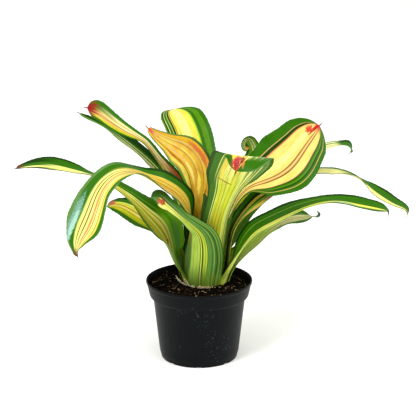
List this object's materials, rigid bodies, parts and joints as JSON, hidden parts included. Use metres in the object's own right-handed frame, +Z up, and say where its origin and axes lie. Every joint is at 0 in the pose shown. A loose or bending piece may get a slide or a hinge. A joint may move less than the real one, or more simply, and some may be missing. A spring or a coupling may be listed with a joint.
{
  "type": "potted bromeliad",
  "caption": "Variegated strap-leaved bromeliad rosette growing in a small black nursery pot; stands on a table or shelf as a house plant.",
  "frame": {"origin": "the middle of the pot's underside, on the surface that the pot stands on", "axes": "+Z up along the pot's axis; +X towards the far right leaf, along the plant's widest spread; the side with the folded front leaf faces -Y"},
  "size_m": [0.4431, 0.2842, 0.2837],
  "materials": {
    "black_plastic": "moulded black plastic with a soft sheen",
    "peat": "dark moist peat with bark and coir",
    "stem_bark": "dull fibrous brown",
    "husk_paper": "dry papery sheath, pale brown",
    "leaf_far_left_blade": "satin leathery leaf, striped lengthwise",
    "leaf_low_left_blade": "satin leathery leaf, striped lengthwise",
    "leaf_arching_left_blade": "satin leathery leaf, striped lengthwise",
    "leaf_curled_upper_left_blade": "satin leathery leaf, striped lengthwise",
    "leaf_pointed_upper_left_blade": "satin leathery leaf, striped lengthwise",
    "leaf_orange_blade": "satin leathery leaf, striped lengthwise",
    "leaf_tall_yellow_blade": "satin leathery leaf, striped lengthwise",
    "leaf_folded_front_blade": "satin leathery leaf, striped lengthwise",
    "leaf_broad_right_blade": "satin leathery leaf, striped lengthwise",
    "leaf_curled_rear_blade": "satin leathery leaf, striped lengthwise",
    "leaf_rear_right_blade": "satin leathery leaf, striped lengthwise",
    "leaf_far_right_blade": "satin leathery leaf, striped lengthwise",
    "leaf_right_front_blade": "satin leathery leaf, striped lengthwise",
    "leaf_low_right_blade": "satin leathery leaf, striped lengthwise",
    "leaf_short_front_blade": "satin leathery leaf, striped lengthwise",
    "leaf_low_rear_blade": "satin leathery leaf, striped lengthwise",
    "leaf_short_rear_right_blade": "satin leathery leaf, striped lengthwise",
    "leaf_short_rear_left_blade": "satin leathery leaf, striped lengthwise",
    "leaf_heart_left_blade": "satin leathery leaf, striped lengthwise",
    "leaf_heart_right_blade": "satin leathery leaf, striped lengthwise"
  },
  "bodies": {
    "root": {"pot": "black_plastic", "soil": "peat", "stem_and_roots": "stem_bark", "husk_left": "husk_paper", "husk_front": "husk_paper", "husk_rear": "husk_paper", "leaf_far_left": "leaf_far_left_blade", "leaf_low_left": "leaf_low_left_blade", "leaf_arching_left": "leaf_arching_left_blade", "leaf_curled_upper_left": "leaf_curled_upper_left_blade", "leaf_pointed_upper_left": "leaf_pointed_upper_left_blade", "leaf_orange": "leaf_orange_blade", "leaf_tall_yellow": "leaf_tall_yellow_blade", "leaf_folded_front": "leaf_folded_front_blade", "leaf_broad_right": "leaf_broad_right_blade", "leaf_curled_rear": "leaf_curled_rear_blade", "leaf_rear_right": "leaf_rear_right_blade", "leaf_far_right": "leaf_far_right_blade", "leaf_right_front": "leaf_right_front_blade", "leaf_low_right": "leaf_low_right_blade", "leaf_short_front": "leaf_short_front_blade", "leaf_low_rear": "leaf_low_rear_blade", "leaf_short_rear_right": "leaf_short_rear_right_blade", "leaf_short_rear_left": "leaf_short_rear_left_blade", "leaf_heart_left": "leaf_heart_left_blade", "leaf_heart_right": "leaf_heart_right_blade"}
  },
  "joints": []
}
